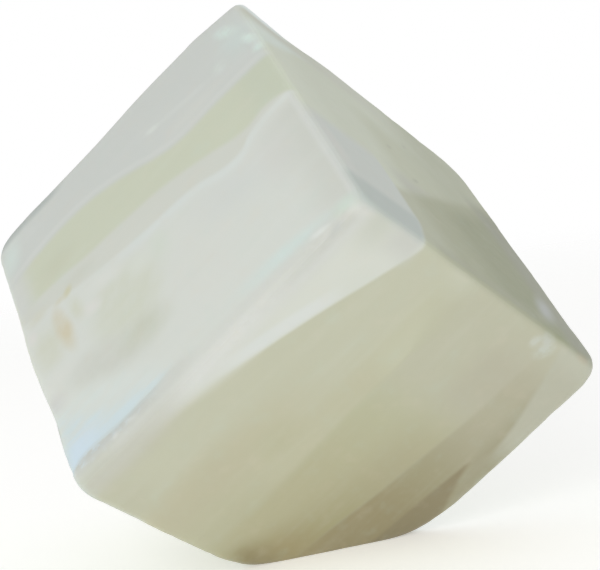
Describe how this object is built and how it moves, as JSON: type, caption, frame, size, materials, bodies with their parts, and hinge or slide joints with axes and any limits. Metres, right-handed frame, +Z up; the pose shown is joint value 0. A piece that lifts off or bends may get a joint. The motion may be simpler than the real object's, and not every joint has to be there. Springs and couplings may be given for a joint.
{
  "type": "polished calcite cube",
  "caption": "Hand-cut, hand-polished cube of milky pale green calcite that stands on one ground-off corner, with softly rounded edges and a shallow cleavage scar.",
  "frame": {"origin": "the point of the ground foot straight under the middle of the block", "axes": "+Z up, square to the foot and almost along the cube's body diagonal; -Y is the way the front face looks; +X to the right of someone who faces that side"},
  "size_m": [0.0696, 0.079, 0.0737],
  "materials": {
    "calcite": "hand-polished milky calcite, satin gloss, faintly translucent"
  },
  "bodies": {
    "root": {"calcite_cube": "calcite"}
  },
  "joints": []
}
